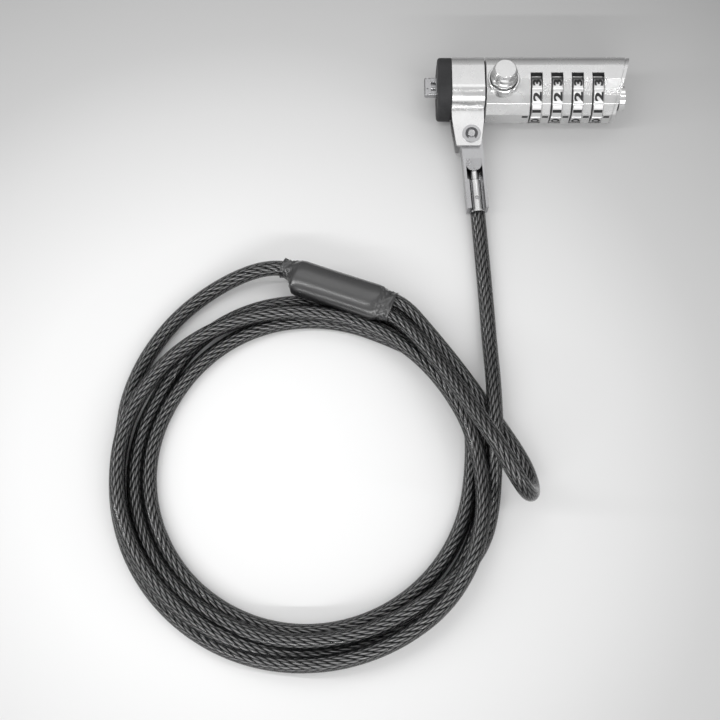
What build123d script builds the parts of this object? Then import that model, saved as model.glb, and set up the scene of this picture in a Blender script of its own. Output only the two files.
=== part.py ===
from build123d import *
import math
import os

# Laptop cable lock: a four-dial lock head with a T-bar nose, a swivelling collar and yoke,
# and a jacketed steel cable that ends in a crimped eye.
# +Z is up and Z = 0 is the table. X runs along the lock head, from the T-bar to the far end.
# The origin is below the middle of the lock head and yoke. All sizes are in millimetres.

os.makedirs("parts", exist_ok=True)

# --- Lock head -------------------------------------------------------------------------
AXIS_Y = 17.6            # the neck axis lies along X at this Y
HALF = 9.5               # half the width of the collar; also the height of the neck axis
CORNER = 5.7             # corner radius of the collar and of the back of the body
TIP_X = -35.1            # end face of the T-bar
GUARD_X = -32.8          # ends of the guard pins
PAD_X0, PAD_X1 = -30.85, -26.25
COLLAR_X0, COLLAR_X1 = -26.1, -15.1
BODY_X0 = -14.6
END_X = 35.15            # far corner of the body, at its back
END_ANGLE = 15.0         # the far end is cut at this angle, in plan
COVER_T = 1.1            # thickness of the end cover
END_GROOVE = 0.4         # width and depth of the line between the body and the end cover
SHEET = 1.2              # thickness of the collar strap
NECK_R = 6.0
GAP = 0.1                # running clearance

# --- T-bar and button --------------------------------------------------------------------
TBAR_SHAFT_R = 1.2
TBAR_HEAD = (2.2, 7.0, 2.6)
NOSE_DY = 0.9            # the T-bar lies this far behind the neck axis
BUTTON_X, BUTTON_DY = -8.75, -1.8
BUTTON_TOP = 15.9        # above the neck axis
BEZEL_R, BEZEL_HOLE_R = 5.45, 4.65
WELL_FLOOR = 3.2
STROKE = math.pi         # a quarter turn of the pinion
MODULE = 0.5
PINION_TEETH = 8
PITCH_R = MODULE * PINION_TEETH / 2
TOOTH_PITCH = math.pi * MODULE
PINION_W = 2.2

# --- Dials -------------------------------------------------------------------------------
DIAL_DY = -3.2           # the dial axis lies this far in front of the neck axis
DIAL_R = 8.2
DIAL_W = 3.5
DIAL_SHIFT = 0.2         # a spacer fills the left side of each slot
DIAL_BORE_R = 4.5
DIAL_XS = [2.45, 9.4, 16.35, 23.3]
WINDOW_W = 4.1
WINDOW_BACK = 0.9
HUB_R = 4.45
HUB_BORE_R = 2.6
SPINDLE_R = 2.5
KNOB_R = 4.4

# --- Collar ears, rivet and yoke -----------------------------------------------------------
EAR_TILT = 7.5           # the ears slope down to the front by this angle
EAR_GAP = 3.0            # from the ears' middle plane to their inner faces
RIVET_S = 17.9           # rivet centre, measured along the ears from the neck axis
RIVET_X = -19.5
RIVET_R = 1.35
YOKE_SWING = 4.0         # the yoke leans this far towards +X
YOKE_W, YOKE_H = 7.2, 5.6
YOKE_WEB, YOKE_RAIL = 0.6, 0.9
YOKE_L = 26.0
FERRULE_R = 1.95
FERRULE_END = 26.93

# --- Cable -------------------------------------------------------------------------------
CABLE_D = 5.0
COIL_CENTRE = (-74.45, -117.1)
COIL_OUTER_R = 61.4
COIL_INNER_R = 47.8
COIL_INNER_SHIFT = (2.0, 0.8)
COIL_H = 9.0
SLEEVE_CENTRE = Vector(-64.7, -57.5, 8.9)
SLEEVE_AXIS = Vector(0.9316, -0.357, 0.066).normalized()
SLEEVE_W, SLEEVE_T, SLEEVE_L = 12.2, 8.0, 30.0
SLEEVE_NECK = 4.5
CRIMP_W, CRIMP_T, CRIMP_L = 10.8, 6.6, 28.0
EYE_SPACING = 5.1
TAIL_OFFSET = 1.6

EXIT_POINT = (-17.62, -26.78, 3.66)
LEAD_ROUTE = [
    EXIT_POINT,
    (-17.03, -35.18, 2.55),
    (-16.4, -47.0, 2.5),
    (-15.7, -61.0, 2.5),
    (-15.2, -75.0, 3.1),
    (-14.9, -86.5, 6.2),
    (-14.9, -97.0, 8.4),
    (-15.0, -106.5, 8.2),
    (-15.3, -115.5, 5.2),
]
TAIL_ROUTE = [
    (-132.2, -104.5, 2.5),
    (-131.4, -92.5, 2.5),
    (-126.4, -78.4, 2.5),
    (-117.2, -64.6, 2.5),
    (-105.4, -54.6, 2.8),
    (-93.4, -49.3, 5.4),
    (-83.69, -48.51, 7.51),
    (-77.17, -51.01, 7.98),
]
EYE_ROUTE = [
    (-50.74, -60.12, 9.82),
    (-43.29, -62.97, 10.35),
    (-35.2, -72.6, 9.1),
    (-26.2, -83.6, 6.6),
    (-19.0, -93.2, 3.6),
    (-11.8, -103.8, 2.5),
    (-6.2, -113.4, 2.5),
    (-4.0, -120.8, 4.2),
    (-4.8, -126.4, 10.4),
    (-7.6, -127.2, 18.0),
    (-11.4, -123.2, 23.4),
    (-15.4, -115.6, 24.6),
    (-21.4, -104.2, 21.2),
    (-28.0, -92.0, 17.0),
    (-35.4, -79.6, 13.0),
    (-45.11, -67.74, 10.35),
    (-52.57, -64.88, 9.82),
]


# --- Helpers -----------------------------------------------------------------------------
def save(name, shape):
    shape.label = name
    export_step(shape, f"parts/{name}.step")


def along_x(sketch, x0, x1, dy=0.0, dz=0.0):
    """Extrude a (Y, Z) sketch drawn about the neck axis from x0 to x1."""
    face = Plane((x0, AXIS_Y + dy, HALF + dz), x_dir=(0, 1, 0), z_dir=(1, 0, 0))
    return extrude(face * sketch, amount=x1 - x0)


def rod_x(radius, x0, x1, dy=0.0, dz=0.0):
    return along_x(Circle(radius), x0, x1, dy, dz)


def rod_z(radius, z0, z1, x=BUTTON_X, dy=BUTTON_DY):
    """A vertical cylinder; z0 and z1 are measured from the neck axis."""
    return Pos(x, AXIS_Y + dy, HALF + z0) * Cylinder(
        radius, z1 - z0, align=(Align.CENTER, Align.CENTER, Align.MIN))


def block(x0, x1, y0, y1, z0, z1):
    """A box; the Y and Z limits are measured from the neck axis."""
    return Pos((x0 + x1) / 2, AXIS_Y + (y0 + y1) / 2, HALF + (z0 + z1) / 2) * Box(
        x1 - x0, y1 - y0, z1 - z0)


def rounded_square(half, radius=CORNER):
    return RectangleRounded(2 * half, 2 * half, radius)


def end_half_space(offset=0.0):
    """Everything beyond the slanted end plane, moved outwards by offset."""
    tilt = Pos(END_X, AXIS_Y + HALF, HALF) * Rot(0, 0, -END_ANGLE) * Pos(offset, 0, 0)
    return tilt * Box(40, 120, 60, align=(Align.MIN, Align.CENTER, Align.CENTER))


def radians_turn(before, at, after):
    return math.radians((Vector(*at) - Vector(*before)).get_angle(Vector(*after) - Vector(*at)))


def route_radii(points):
    """The largest arc at each corner that its two runs leave room for."""
    radii = []
    for before, at, after in zip(points, points[1:], points[2:]):
        shorter = min((Vector(*at) - Vector(*before)).length, (Vector(*after) - Vector(*at)).length)
        radii.append(0.45 * shorter / math.tan(radians_turn(before, at, after) / 2))
    return radii


def cord_tube(points, radius=CABLE_D / 2):
    path = FilletPolyline(*points, radius=route_radii(points))
    start = Plane(origin=points[0], z_dir=Vector(*points[1]) - Vector(*points[0]))
    return sweep(start * Circle(radius), path=path), path.length


def cord_node(name, points):
    tube, length = cord_tube(points)
    expected = math.pi * (CABLE_D / 2) ** 2 * length
    radii = ", ".join(f"{radius:.0f}" for radius in route_radii(points))
    print(f"{name}: {length:.1f} mm, volume / (section x length) {tube.volume / expected:.4f}")
    print(f"  arc radii in mm: {radii}")
    save(name, tube)
    return tube


# --- Lock body ---------------------------------------------------------------------------
def body_outline(inset=0.0):
    """Cross-section of the lock body: flat top and back, faceted front, flat underside."""
    front = [(-1.4, HALF), (-6.4, 6.9), (-8.8, 5.4), (-11.0, 1.7), (-11.0, -3.5), (-7.0, -HALF)]
    outline = Polyline((HALF, HALF), *front, (HALF, -HALF), close=True)
    face = make_face(outline)
    back = face.vertices().sort_by(Axis.X)[-2:]
    face = fillet(back, CORNER)
    facets = [v for v in face.vertices() if v.X < -5]
    face = fillet(facets, 0.7)
    return offset(face, amount=-inset) if inset else face


def dial_slots():
    slots = None
    for x in DIAL_XS:
        slot = rod_x(DIAL_R + 0.3, x - WINDOW_W / 2, x + WINDOW_W / 2, dy=DIAL_DY)
        slot += block(x - WINDOW_W / 2, x + WINDOW_W / 2, -12.5, WINDOW_BACK, 0, HALF + 1)
        slots = slot if slots is None else slots + slot
    return slots


def body_shell():
    shell = along_x(body_outline(), BODY_X0, END_X)
    shell -= end_half_space(-COVER_T)
    shell = chamfer(shell.faces().sort_by(Axis.X)[0].edges(), 0.25)
    shell -= end_groove()
    shell += rod_x(NECK_R, PAD_X1, BODY_X0)
    shell -= dial_slots()
    shell -= rod_x(TBAR_SHAFT_R + GAP, PAD_X1, -5.6, dy=NOSE_DY)
    shell -= block(BUTTON_X - 1.4, BUTTON_X + 1.4, BUTTON_DY - 1.8, NOSE_DY + 3.0, -6.2, WELL_FLOOR)
    shell -= rod_z(BEZEL_HOLE_R, WELL_FLOOR, HALF + 2)
    shell -= rod_z(BEZEL_R, WELL_FLOOR + 0.8, HALF + 2)
    shell -= rod_x(SPINDLE_R, -1.6, 31.0, dy=DIAL_DY)
    shell -= rod_x(KNOB_R + 0.1, 29.6, END_X, dy=DIAL_DY)
    shell -= block(-0.4, 26.6, 5.2, 6.3, -4.2, 4.2)
    shell -= base_cover_blank()
    for x, dy in BASE_SCREWS:
        shell -= rod_z(0.7, -HALF, -HALF + 4.0, x, dy)
    for dz in NOSE_SCREW_ZS:
        shell -= rod_x(0.7, PAD_X1, PAD_X1 + 4.0, dz=dz)
    for place in end_screw_places():
        shell -= place * Cylinder(0.7, 9, align=(Align.CENTER, Align.CENTER, Align.MAX))
    return shell


BASE_SCREWS = [(-12.3, 2.6), (-12.3, -4.4), (27.4, 2.6), (27.4, -4.4)]
NOSE_SCREW_ZS = [-3.9, 3.9]


def end_groove():
    """Rim cut away beside the end cover, which leaves a shadow line."""
    rim = along_x(body_outline(), 20, END_X) - along_x(body_outline(END_GROOVE), 20, END_X)
    return rim & end_half_space(-COVER_T - END_GROOVE)


def base_cover_blank():
    return block(-13.8, 28.8, -6.3, 4.2, -HALF, -HALF + 1.0)


def base_cover():
    cover = base_cover_blank()
    upright = cover.edges().filter_by(Axis.Z)
    cover = fillet(upright, 0.6)
    for x, dy in BASE_SCREWS:
        cover -= rod_z(0.75, -HALF, -HALF + 1.0, x, dy)
        cover -= rod_z(1.25, -HALF, -HALF + 0.55, x, dy)
    return cover


def base_screws():
    screws = []
    for x, dy in BASE_SCREWS:
        screw = rod_z(1.2, -HALF + 0.05, -HALF + 0.55, x, dy) + rod_z(0.7, -HALF + 0.5, -HALF + 3.8, x, dy)
        screws.append(screw - block(x - 0.9, x + 0.9, dy - 0.14, dy + 0.14, -HALF, -HALF + 0.3))
    return Compound(children=screws)


def end_screw_places():
    """Frames on the slanted end cover, looking outwards."""
    places = []
    for dz in (-5.2, 5.2):
        y = AXIS_Y + 5.6
        x = END_X - (AXIS_Y + HALF - y) * math.tan(math.radians(END_ANGLE))
        places.append(Pos(x, y, HALF + dz) * Rot(0, 0, -END_ANGLE) * Rot(0, 90, 0))
    return places


def end_cover():
    cover = along_x(body_outline(0.15), 20, END_X) & end_half_space(-COVER_T + 0.05)
    cover -= end_half_space()
    cover -= rod_x(KNOB_R + 0.1, 20, END_X, dy=DIAL_DY)
    for place in end_screw_places():
        cover -= place * Cylinder(0.75, 4, align=(Align.CENTER, Align.CENTER, Align.MAX))
        cover -= place * Cylinder(1.25, 0.5, align=(Align.CENTER, Align.CENTER, Align.MAX))
    return cover


def end_screws():
    screws = []
    top = (Align.CENTER, Align.CENTER, Align.MAX)
    for place in end_screw_places():
        screw = place * (Pos(0, 0, -0.05) * Cylinder(1.2, 0.45, align=top))
        screw += place * (Pos(0, 0, -0.45) * Cylinder(0.7, 4.0, align=top))
        screw -= place * (Pos(0, 0, 0) * Box(0.28, 1.8, 0.3, align=top))
        screws.append(screw)
    return Compound(children=screws)


# --- Nose --------------------------------------------------------------------------------
def nose_plate():
    plate = along_x(rounded_square(8.2, 4.4), PAD_X1 - 1.2, PAD_X1)
    plate -= rod_x(TBAR_SHAFT_R + GAP, PAD_X1 - 2, PAD_X1, dy=NOSE_DY)
    for dz in NOSE_SCREW_ZS:
        plate -= rod_x(0.75, PAD_X1 - 2, PAD_X1, dz=dz)
    return plate


def nose_screws():
    screws = []
    for dz in NOSE_SCREW_ZS:
        screw = rod_x(1.3, PAD_X1 - 1.9, PAD_X1 - 1.2, dz=dz) + rod_x(0.7, PAD_X1 - 1.3, PAD_X1 + 3.8, dz=dz)
        screws.append(screw)
    return Compound(children=screws)


def nose_guard():
    """Steel block behind the T-bar with two pins that stop the lock turning in its slot."""
    guard = along_x(RectangleRounded(7.4, 3.6, 1.0), PAD_X0 - 0.35, PAD_X1 - 1.2, dy=NOSE_DY)
    for dy in (-2.5, 2.5):
        guard += along_x(RectangleRounded(1.9, 2.5, 0.5), GUARD_X, PAD_X0, dy=NOSE_DY + dy)
    guard -= rod_x(TBAR_SHAFT_R + GAP, GUARD_X - 1, PAD_X1, dy=NOSE_DY)
    return guard


def pad():
    """Soft pad that keeps the metal nose off the laptop's case."""
    soft = along_x(rounded_square(9.3, 5.5), PAD_X0, PAD_X1)
    face = soft.faces().sort_by(Axis.X)[0]
    soft = fillet(face.edges(), 0.9)
    soft -= along_x(rounded_square(8.2, 4.4), PAD_X1 - 1.2, PAD_X1)
    soft -= along_x(RectangleRounded(7.4, 3.6, 1.0), PAD_X0, PAD_X1, dy=NOSE_DY)
    for dz in NOSE_SCREW_ZS:
        soft -= rod_x(1.3, PAD_X1 - 1.9, PAD_X1, dz=dz)
    return soft


def tbar():
    length, width, thick = TBAR_HEAD
    head = along_x(RectangleRounded(width, thick, 0.8), TIP_X, TIP_X + length, dy=NOSE_DY)
    head = chamfer(head.faces().sort_by(Axis.X)[0].edges(), 0.3)
    for dy in (-2.3, 2.3):
        head -= block(TIP_X + 0.75, TIP_X + 1.35, NOSE_DY + dy - 1.3, NOSE_DY + dy + 1.3, 0.95, 2)
    shaft = rod_x(TBAR_SHAFT_R, TIP_X + length, BUTTON_X + 2.9, dy=NOSE_DY)
    return head + shaft - pinion_bore_key()


def pinion_bore_key():
    """A flat on the shaft that carries the pinion."""
    return block(BUTTON_X - PINION_W / 2, -4.0, NOSE_DY - 2, NOSE_DY + 2, 0.9, 2)


def tbar_pinion():
    """Eight teeth, one of them pointing straight to the front, at the rack, when the lock is open."""
    root, tip = PITCH_R - 0.55, PITCH_R + 0.4
    x0, x1 = BUTTON_X - PINION_W / 2, BUTTON_X + PINION_W / 2
    gear = Circle(root)
    for index in range(PINION_TEETH):
        tooth = make_face(Polyline((root - 0.4, -0.5), (tip, -0.16), (tip, 0.16), (root - 0.4, 0.5), close=True))
        gear += Rot(0, 0, 180 + index * 360 / PINION_TEETH) * tooth
    pinion = along_x(gear, x0, x1, dy=NOSE_DY)
    shaft = rod_x(TBAR_SHAFT_R, x0 - 1, x1 + 1, dy=NOSE_DY) - pinion_bore_key()
    return pinion - shaft


# --- Button ------------------------------------------------------------------------------
def button_bezel():
    ring = rod_z(BEZEL_R, WELL_FLOOR + 0.8, 10.1) - rod_z(BEZEL_HOLE_R, 0, 12)
    ring = chamfer(ring.edges().filter_by(GeomType.CIRCLE).sort_by(Axis.Z)[-2:], 0.28)
    groove = rod_z(BEZEL_R + 1, 8.55, 8.85) - rod_z(BEZEL_R - 0.2, 8, 9)
    return ring - groove


def button():
    profile = Polyline(
        (0, 7.4), (1.6, 7.4), (1.6, 10.2), (3.75, 10.2), (3.75, 7.6), (4.45, 7.6), (4.45, 11.6),
        (4.0, 12.2), (4.0, 12.9), (4.25, 13.2), (4.25, 13.9), (3.8, 14.6), (3.65, BUTTON_TOP),
        (0, BUTTON_TOP), close=True)
    half = Plane((BUTTON_X, AXIS_Y + BUTTON_DY, HALF), x_dir=(1, 0, 0), z_dir=(0, -1, 0))
    axis = Axis((BUTTON_X, AXIS_Y + BUTTON_DY, 0), (0, 0, 1))
    knob = revolve(half * make_face(profile), axis)
    rim = knob.edges().filter_by(GeomType.CIRCLE).sort_by(Axis.Z)[-1]
    return fillet(rim, 0.35)


def button_rack():
    """Rack under the button: its foot is pressed to the stem, its teeth face the T-bar's pinion."""
    back, root, tip = NOSE_DY - 3.7, NOSE_DY - PITCH_R - 0.55, NOSE_DY - PITCH_R + 0.38
    x0, x1 = BUTTON_X - 1.1, BUTTON_X + 1.1
    rack = block(x0, x1, back, root, -2.2, 7.4)
    rack += block(x0, x1, BUTTON_DY - 1.5, NOSE_DY - 0.9, 6.05, 7.4)
    side = Plane((x0, AXIS_Y, HALF), x_dir=(0, 1, 0), z_dir=(1, 0, 0))
    for index in range(-1, 3):
        middle = (index + 0.5) * TOOTH_PITCH
        tooth = make_face(Polyline(
            (root - 0.1, middle - 0.5), (tip, middle - 0.13), (tip, middle + 0.13),
            (root - 0.1, middle + 0.5), close=True))
        rack += extrude(side * tooth, amount=x1 - x0)
    return rack


def button_spring():
    wire, radius, turns = 0.45, 3.35, 4.5
    z0, z1 = WELL_FLOOR + wire / 2, 10.2 - wire / 2
    height = z1 - z0
    centre = (BUTTON_X, AXIS_Y + BUTTON_DY, HALF + z0)
    path = Helix(pitch=height / turns, height=height, radius=radius, center=centre)
    return sweep(Plane(origin=path @ 0, z_dir=path % 0) * Circle(wire / 2), path=path, is_frenet=True)


# --- Dials -------------------------------------------------------------------------------
def dial(x):
    """Number ring with ten flats; a groove parts each number from the next."""
    x += DIAL_SHIFT
    ring = rod_x(DIAL_R, x - DIAL_W / 2, x + DIAL_W / 2, dy=DIAL_DY)
    ring = chamfer(ring.edges().filter_by(GeomType.CIRCLE), 0.25)
    cutter = along_x(Pos(DIAL_R + 0.25, 0) * Circle(0.55), x - DIAL_W, x + DIAL_W, dy=DIAL_DY)
    centre = Axis((x, AXIS_Y + DIAL_DY, HALF), (1, 0, 0))
    for index in range(10):
        ring -= cutter.rotate(centre, 119.0 + 18 + 36 * index)
    ring -= rod_x(DIAL_BORE_R, x - DIAL_W, x + DIAL_W, dy=DIAL_DY)
    return ring


def hub(x):
    """Sleeve inside a number ring; its notch has to line up before the spindle can slide."""
    x += DIAL_SHIFT
    sleeve = rod_x(HUB_R, x - DIAL_W / 2, x + DIAL_W / 2, dy=DIAL_DY)
    sleeve -= rod_x(HUB_BORE_R, x - DIAL_W, x + DIAL_W, dy=DIAL_DY)
    return sleeve - block(x - 1.0, x + DIAL_W, DIAL_DY + 2.0, DIAL_DY + 3.6, -0.8, 0.8)


def dial_spacers():
    """A dark spacer on the left of each dial; its lip covers the back wall of the window."""
    spacers = []
    for x in DIAL_XS:
        left = x - WINDOW_W / 2
        spacer = rod_x(DIAL_R - 0.25, left, left + 0.35, dy=DIAL_DY)
        spacer -= rod_x(DIAL_BORE_R + 0.2, left - 1, left + 1, dy=DIAL_DY)
        spacer += block(left, left + 0.35, 0.3, WINDOW_BACK, 5.5, 9.1)
        spacer += block(left, left + WINDOW_W, WINDOW_BACK - 0.2, WINDOW_BACK, 7.5, 9.1)
        spacers.append(spacer)
    return Compound(children=spacers)


def spindle():
    shaft = rod_x(SPINDLE_R - 0.05, -1.4, 29.6, dy=DIAL_DY)
    shaft -= block(-2.5, 1.5, DIAL_DY - 3, DIAL_DY - 1.6, -3, 3)
    return shaft


def spindle_spring():
    wire, radius, turns = 0.35, 1.3, 3
    start = (29.8, AXIS_Y + DIAL_DY, HALF)
    path = Helix(pitch=0.42, height=0.42 * turns, radius=radius, center=start, direction=(1, 0, 0))
    return sweep(Plane(origin=path @ 0, z_dir=path % 0) * Circle(wire / 2), path=path, is_frenet=True)


def detent_spring():
    """Leaf spring along the back of the dials, with one finger for each dial."""
    leaf = block(-0.2, 26.4, 5.85, 6.2, -3.9, 3.9)
    for x in DIAL_XS:
        leaf += rod_x(0.5, x - 1.4, x + 1.4, dy=5.62)
        leaf -= block(x - 2.3, x - 1.9, 5.5, 6.5, -2.5, 4.5)
    return leaf


def end_knob():
    """Polished round knob at the far end of the dial axis, used when a new number is set."""
    front, dome_r = 34.05, 11.0
    rounded = Pos(front - dome_r, AXIS_Y + DIAL_DY, HALF) * Sphere(dome_r)
    return rod_x(KNOB_R, 31.25, front + 1, dy=DIAL_DY) & rounded


# --- Collar and yoke ---------------------------------------------------------------------
def ear_frame():
    """Origin on the neck axis at the rivet's X; x is X, y runs out along the ears, z is their normal."""
    tilt = math.radians(EAR_TILT)
    normal = (0, -math.sin(tilt), math.cos(tilt))
    return Plane((0, AXIS_Y, HALF), x_dir=(1, 0, 0), z_dir=normal)


def ear_plate(w0, w1):
    outline = Polyline(
        (COLLAR_X0, -8.2), (-26.0, -12.3), (-24.6, -22.1), (-16.4, -22.1), (-15.2, -13.0),
        (COLLAR_X1, -8.2), close=True)
    face = make_face(outline)
    tips = face.vertices().sort_by(Axis.Y)[:2]
    face = fillet(tips, 0.8)
    return extrude(ear_frame() * (Pos(0, 0, w0) * face), amount=w1 - w0)


def in_ears(shape):
    """Place a shape drawn about the rivet: x is X, y runs inwards, z is the ears' normal."""
    return ear_frame().location * Pos(RIVET_X, -RIVET_S, 0) * shape


def collar_band():
    strap = along_x(rounded_square(HALF), COLLAR_X0, COLLAR_X1)
    strap -= block(COLLAR_X0, COLLAR_X1, -10, -7.9, -4.2, 2.1)
    strap += ear_plate(EAR_GAP, EAR_GAP + SHEET)
    strap += ear_plate(-EAR_GAP - SHEET, -EAR_GAP)
    strap -= along_x(rounded_square(HALF - SHEET, CORNER - SHEET), COLLAR_X0, COLLAR_X1)
    strap -= in_ears(Cylinder(RIVET_R + 0.02, 14))
    return strap


def collar_bushing():
    """Fills the strap and turns on the neck."""
    ring = along_x(rounded_square(HALF - SHEET, CORNER - SHEET), COLLAR_X0, BODY_X0 - 0.15)
    return ring - rod_x(NECK_R + GAP, COLLAR_X0, BODY_X0)


def rivet():
    shank = Pos(0, 0, 0.4) * Cylinder(RIVET_R, 9.2)
    head = Pos(0, 0, -EAR_GAP - SHEET) * Cylinder(2.5, 0.7, align=(Align.CENTER, Align.CENTER, Align.MAX))
    pin = shank + head
    pin = fillet(pin.edges().filter_by(GeomType.CIRCLE).sort_by(Axis.Z)[-1], 0.3)
    return in_ears(pin)


def rivet_washer():
    bottom = (Align.CENTER, Align.CENTER, Align.MIN)
    washer = Pos(0, 0, EAR_GAP + SHEET) * (Cylinder(3.15, 0.35, align=bottom) - Cylinder(RIVET_R + 0.02, 1))
    return in_ears(chamfer(washer.edges().filter_by(GeomType.CIRCLE).sort_by(Axis.Z)[-1], 0.15))


def rivet_clip():
    """C-clip on the rivet, open towards the cable."""
    bottom = (Align.CENTER, Align.CENTER, Align.MIN)
    ring = Cylinder(2.1, 0.3, align=bottom) - Cylinder(RIVET_R + 0.02, 1, align=bottom)
    ring -= Pos(0, -1.5, 0) * Box(2.2, 3, 2)
    return in_ears(Pos(0, 0, EAR_GAP + SHEET + 0.35) * ring)


def yoke_frame():
    """Origin at the rivet's middle; x runs along the yoke to the cable, y is towards +X, z is the ears' normal."""
    tilt, swing = math.radians(EAR_TILT), math.radians(YOKE_SWING)
    out = Vector(0, -math.cos(tilt), -math.sin(tilt))
    along = out * math.cos(swing) + Vector(1, 0, 0) * math.sin(swing)
    centre = Vector(RIVET_X, AXIS_Y, HALF) + out * RIVET_S
    return Plane(centre, x_dir=along, z_dir=(0, -math.sin(tilt), math.cos(tilt)))


def in_yoke(shape):
    return yoke_frame().location * shape


def yoke_box(u0, u1, v0, v1, w0, w1):
    return Pos((u0 + u1) / 2, (v0 + v1) / 2, (w0 + w1) / 2) * Box(u1 - u0, v1 - v0, w1 - w0)


def yoke_rod(radius, u0, u1):
    return Pos(u0, 0, 0) * Rot(0, 90, 0) * Cylinder(
        radius, u1 - u0, align=(Align.CENTER, Align.CENTER, Align.MIN))


def yoke():
    """Folded channel: a web below, two rails, a tongue over the rivet and a cross wall for the ferrule."""
    half_w, half_h = YOKE_W / 2, YOKE_H / 2
    inner = half_w - YOKE_RAIL
    bottom = (Align.CENTER, Align.CENTER, Align.MIN)
    channel = yoke_box(0, YOKE_L, -half_w, half_w, -half_h, -half_h + YOKE_WEB)
    channel += Pos(0, 0, -half_h) * Cylinder(half_w, YOKE_WEB, align=bottom)
    for side in (-1, 1):
        v0, v1 = sorted((side * inner, side * half_w))
        channel += yoke_box(1.2, YOKE_L, v0, v1, -half_h, half_h)
    channel += yoke_box(0, 8.4, -half_w, half_w, half_h - YOKE_WEB, half_h)
    channel += Pos(0, 0, half_h - YOKE_WEB) * Cylinder(half_w, YOKE_WEB, align=bottom)
    tip = Box(4.2, 2 * inner, YOKE_WEB, align=(Align.MIN, Align.CENTER, Align.MAX))
    tip = fillet(tip.edges().filter_by(Axis.Z).sort_by(Axis.X)[-2:], 2.2)
    channel += Pos(8.2, 0, half_h) * Rot(0, 8, 0) * tip
    channel += yoke_box(5.4, 6.6, -inner, inner, -half_h, half_h - YOKE_WEB)
    channel += yoke_box(15.8, YOKE_L, -half_w, -2.1, half_h - YOKE_WEB, half_h)
    channel -= yoke_rod(1.6, 5, 7)
    channel -= Cylinder(RIVET_R + 0.08, 14)
    return in_yoke(channel)


def swivel_washer():
    return in_yoke(yoke_rod(2.1, 4.8, 5.3) - yoke_rod(1.56, 4, 6))


def end_ferrule():
    """Swaged on the cable's end; its shank turns in the yoke's cross wall."""
    body = yoke_rod(2.0, 4.2, 4.7) + yoke_rod(1.5, 4.7, 15.3)
    barrel = yoke_rod(FERRULE_R, 15.3, 26.2)
    barrel = chamfer(barrel.edges().filter_by(GeomType.CIRCLE).sort_by(Axis.X)[0], 0.3)
    rim = yoke_rod(2.2, 26.15, FERRULE_END)
    body += barrel + rim
    return in_yoke(body - Pos(22.1, 0, -0.6) * Cylinder(0.65, 6, align=(Align.CENTER, Align.CENTER, Align.MIN)))


def ferrule_pin():
    bottom = (Align.CENTER, Align.CENTER, Align.MIN)
    pin = Pos(22.1, 0, -0.6) * Cylinder(0.65, 2.6, align=bottom)
    return in_yoke(fillet(pin.edges().filter_by(GeomType.CIRCLE).sort_by(Axis.Z)[-1], 0.3))


# --- Cable -------------------------------------------------------------------------------
def sleeve_frame():
    """Origin in the middle of the sleeve; x runs along it to the eye, z is up."""
    side = Vector(0, 0, 1).cross(SLEEVE_AXIS).normalized()
    return Plane(SLEEVE_CENTRE, x_dir=SLEEVE_AXIS, z_dir=SLEEVE_AXIS.cross(side))


def oval_bar(width, thick, u0, u1, v=0.0):
    """A bar of oval section along the sleeve."""
    face = Plane((u0, v, 0), x_dir=(0, 1, 0), z_dir=(1, 0, 0))
    return extrude(face * SlotOverall(width, thick), amount=u1 - u0)


def sleeve_blank(grow=0.0):
    half = SLEEVE_L / 2
    blank = oval_bar(SLEEVE_W + grow, SLEEVE_T + grow, -half, half)
    blank += oval_bar(10.6 + grow, 6.6 + grow, half, half + SLEEVE_NECK)
    blank += oval_bar(6.9 + grow, 6.6 + grow, -half - SLEEVE_NECK, -half, TAIL_OFFSET)
    return sleeve_frame().location * blank


def cable_stub(u0, u1, v):
    place = Pos(u0, v, 0) * Rot(0, 90, 0)
    stub = place * Cylinder(CABLE_D / 2 + 0.01, u1 - u0, align=(Align.CENTER, Align.CENTER, Align.MIN))
    return sleeve_frame().location * stub


def shrink_sleeve():
    half_crimp, end = CRIMP_L / 2, SLEEVE_L / 2 + SLEEVE_NECK
    sleeve = sleeve_blank() - eye_crimp()
    sleeve -= cable_stub(-end - 2, -half_crimp, TAIL_OFFSET)
    for side in (-1, 1):
        sleeve -= cable_stub(half_crimp, end + 2, side * EYE_SPACING / 2)
    return sleeve


def eye_crimp():
    """Double-barrel sleeve, pressed solid on the two cables."""
    bar = oval_bar(CRIMP_W, CRIMP_T, -CRIMP_L / 2, CRIMP_L / 2)
    return sleeve_frame().location * bar


def cable_coil(eye_clearance):
    """Outer shape of the three and a half turns: wide at the front and left, narrow at the back."""
    bottom = (Align.CENTER, Align.CENTER, Align.MIN)
    x, y = COIL_CENTRE
    dx, dy = COIL_INNER_SHIFT
    ring = Pos(x, y, 0) * Cylinder(COIL_OUTER_R, COIL_H, align=bottom)
    ring -= Pos(x + dx, y + dy, -1) * Cylinder(COIL_INNER_R, COIL_H + 2, align=bottom)
    rims = ring.edges().filter_by(GeomType.CIRCLE)
    ring = fillet(rims, 2.0)
    return ring - sleeve_blank(0.6) - eye_clearance


# --- Write every sub-part ------------------------------------------------------------------
save("body_shell", body_shell())
save("base_cover", base_cover())
save("base_screws", base_screws())
save("end_cover", end_cover())
save("end_screws", end_screws())
save("nose_plate", nose_plate())
save("nose_screws", nose_screws())
save("nose_guard", nose_guard())
save("pad", pad())
save("tbar", tbar())
save("tbar_pinion", tbar_pinion())
save("button_bezel", button_bezel())
save("button", button())
save("button_rack", button_rack())
save("button_spring", button_spring())
for number, dial_x in enumerate(DIAL_XS, start=1):
    save(f"dial_{number}", dial(dial_x))
    save(f"dial_hub_{number}", hub(dial_x))
save("dial_spacers", dial_spacers())
save("spindle", spindle())
save("spindle_spring", spindle_spring())
save("detent_spring", detent_spring())
save("end_knob", end_knob())
save("collar_band", collar_band())
save("collar_bushing", collar_bushing())
save("rivet", rivet())
save("rivet_washer", rivet_washer())
save("rivet_clip", rivet_clip())
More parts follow.
